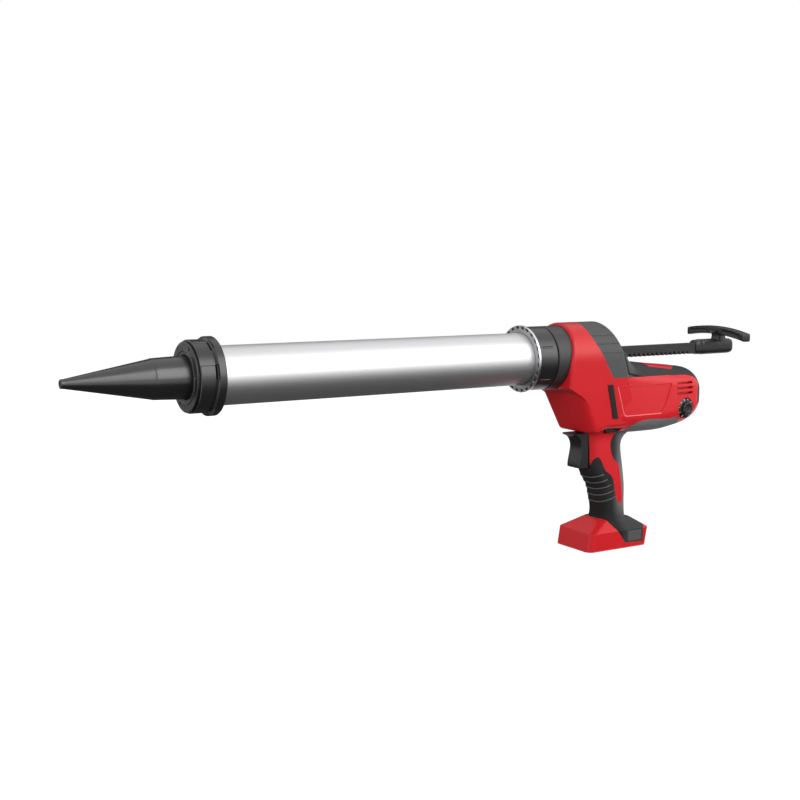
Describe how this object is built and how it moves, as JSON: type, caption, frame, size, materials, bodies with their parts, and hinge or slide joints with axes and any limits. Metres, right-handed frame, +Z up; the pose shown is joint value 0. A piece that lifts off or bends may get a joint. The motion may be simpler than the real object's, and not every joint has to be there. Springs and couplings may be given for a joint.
{
  "type": "cordless caulking tool",
  "caption": "Pistol-grip cordless caulking tool: long metal sausage barrel with screw cap and nozzle, toothed push rod with a pull handle, motor body, trigger and speed dial.",
  "frame": {"origin": "middle of the hand grip, on the tool's mid plane", "axes": "+X from the nozzle back to the pull handle, +Y to the tool's right, +Z up along the handle"},
  "size_m": [0.8215, 0.0928, 0.2593],
  "materials": {
    "red_shell": "moulded red shell, satin",
    "gray_overmould": "soft dark gray overmould, matte",
    "dark_trim": "dark moulded trim",
    "black_plastic": "black moulded plastic, satin",
    "bright_tube": "drawn aluminium tube, satin",
    "bright_steel": "plated steel ring",
    "black_rod": "black oxide steel rack",
    "black_casting": "die casting, black coat",
    "machine_steel": "machined steel",
    "bush_bronze": "sintered bronze bush",
    "motor_steel": "plated motor steel",
    "magnet": "ferrite magnet",
    "seal_rubber": "black seal rubber",
    "board_green": "circuit board",
    "contact_brass": "contact blades"
  },
  "bodies": {
    "housing": {"housing_left": "red_shell", "housing_right": "red_shell", "top_cover": "gray_overmould", "grip_left": "gray_overmould", "grip_right": "gray_overmould", "foot_pads": "gray_overmould", "side_strips": "dark_trim", "rear_grille": "dark_trim", "housing_screws": "machine_steel", "nose_frame": "black_casting", "frame_cover": "black_casting", "barrel_tube": "bright_tube", "barrel_flange": "bright_steel", "front_bush": "bush_bronze", "rear_bush": "bush_bronze", "drive_bearings": "machine_steel", "counter_bearings": "machine_steel", "pinion_bearing": "machine_steel", "ring_gear": "machine_steel", "motor_plate": "black_casting", "motor_can": "motor_steel", "motor_magnets": "magnet", "roller_pin": "machine_steel", "switch_module": "black_plastic", "speed_pot": "black_plastic", "control_board": "board_green", "terminal_block": "black_plastic", "terminal_blades": "contact_brass"},
    "collar": {"lock_collar": "black_plastic", "barrel_ring": "bright_steel"},
    "outlet": {"nozzle": "black_plastic"},
    "cap": {"front_cap": "black_plastic"},
    "rack": {"rack_rod": "black_rod", "plunger": "black_plastic", "plunger_seal": "seal_rubber", "plunger_screw": "machine_steel", "pull_handle": "black_plastic", "handle_pin": "machine_steel"},
    "drive": {"drive_shaft": "machine_steel", "rack_pinion": "machine_steel", "drive_gear": "machine_steel"},
    "counter": {"counter_shaft": "machine_steel", "counter_pinion": "machine_steel", "clutch_ring": "machine_steel"},
    "roller": {"backup_roller": "machine_steel"},
    "carrier": {"planet_carrier": "machine_steel", "bevel_pinion": "machine_steel"},
    "rotor": {"armature": "motor_steel", "sun_gear": "machine_steel", "cooling_fan": "black_plastic"},
    "planet_1": {"planet_gear_1": "machine_steel"},
    "planet_2": {"planet_gear_2": "machine_steel"},
    "planet_3": {"planet_gear_3": "machine_steel"},
    "bevel": {"bevel_gear": "machine_steel"},
    "trigger": {"trigger": "black_plastic"},
    "lock": {"lock_button": "black_plastic"},
    "dial": {"speed_dial": "black_plastic"}
  },
  "joints": [
    {"name": "collar_turn", "type": "hinge", "parent": "housing", "child": "collar", "pos_m": [-0.11, 0, 0.14], "axis": [1, 0, 0], "range_deg": [0, 60]},
    {"name": "nozzle_draw", "type": "slide", "parent": "housing", "child": "outlet", "axis": [-1, 0, 0], "range_m": [0, 0.09]},
    {"name": "cap_turn", "type": "hinge", "parent": "outlet", "child": "cap", "pos_m": [-0.496, 0, 0.14], "axis": [1, 0, 0], "range_deg": [0, 2700]},
    {"name": "rack_slide", "type": "slide", "parent": "housing", "child": "rack", "axis": [1, 0, 0], "range_m": [-0.13, 0.205]},
    {"name": "drive_turn", "type": "hinge", "parent": "housing", "child": "drive", "pos_m": [-0.0325, 0, 0.12516], "axis": [0, 1, 0], "range_deg": [-616, 971]},
    {"name": "counter_turn", "type": "hinge", "parent": "housing", "child": "counter", "pos_m": [-0.0325, 0, 0.08916], "axis": [0, 1, 0], "range_deg": [-1526, 968]},
    {"name": "roller_turn", "type": "hinge", "parent": "housing", "child": "roller", "pos_m": [-0.0325, 0, 0.15305], "axis": [0, 1, 0], "range_deg": [-2350, 1490]},
    {"name": "carrier_spin", "type": "hinge", "parent": "housing", "child": "carrier", "pos_m": [0, 0, 0.08916], "axis": [1, 0, 0], "continuous": true},
    {"name": "rotor_spin", "type": "hinge", "parent": "housing", "child": "rotor", "pos_m": [0.046, 0, 0.08916], "axis": [1, 0, 0], "continuous": true},
    {"name": "planet_1_spin", "type": "hinge", "parent": "carrier", "child": "planet_1", "pos_m": [0.004, 0.012, 0.08916], "axis": [1, 0, 0], "continuous": true},
    {"name": "planet_2_spin", "type": "hinge", "parent": "carrier", "child": "planet_2", "pos_m": [0.004, -0.006, 0.09955], "axis": [1, 0, 0], "continuous": true},
    {"name": "planet_3_spin", "type": "hinge", "parent": "carrier", "child": "planet_3", "pos_m": [0.004, -0.006, 0.07877], "axis": [1, 0, 0], "continuous": true},
    {"name": "bevel_spin", "type": "hinge", "parent": "housing", "child": "bevel", "pos_m": [-0.0325, 0, 0.08916], "axis": [0, 1, 0], "continuous": true},
    {"name": "trigger_pull", "type": "slide", "parent": "housing", "child": "trigger", "axis": [1, 0, 0], "range_m": [0, 0.007], "stiffness_N_per_m": 900, "springref_m": -0.004},
    {"name": "lock_push", "type": "slide", "parent": "housing", "child": "lock", "axis": [0, 1, 0], "range_m": [-0.002, 0.002]},
    {"name": "dial_turn", "type": "hinge", "parent": "housing", "child": "dial", "pos_m": [0.094, -0.031, 0.075], "axis": [0, 1, 0], "range_deg": [-150, 150]}
  ],
  "couplings": [
    {"joint": "cap_turn", "follows": "nozzle_draw", "rad_per_m": 523.59},
    {"joint": "drive_turn", "follows": "rack_slide", "rad_per_m": 82.645},
    {"joint": "counter_turn", "follows": "rack_slide", "rad_per_m": -129.87},
    {"joint": "roller_turn", "follows": "rack_slide", "rad_per_m": -200},
    {"joint": "rotor_spin", "follows": "carrier_spin", "ratio": 5},
    {"joint": "planet_1_spin", "follows": "carrier_spin", "ratio": -2.6667},
    {"joint": "planet_2_spin", "follows": "carrier_spin", "ratio": -2.6667},
    {"joint": "planet_3_spin", "follows": "carrier_spin", "ratio": -2.6667},
    {"joint": "bevel_spin", "follows": "carrier_spin", "ratio": 0.5}
  ]
}
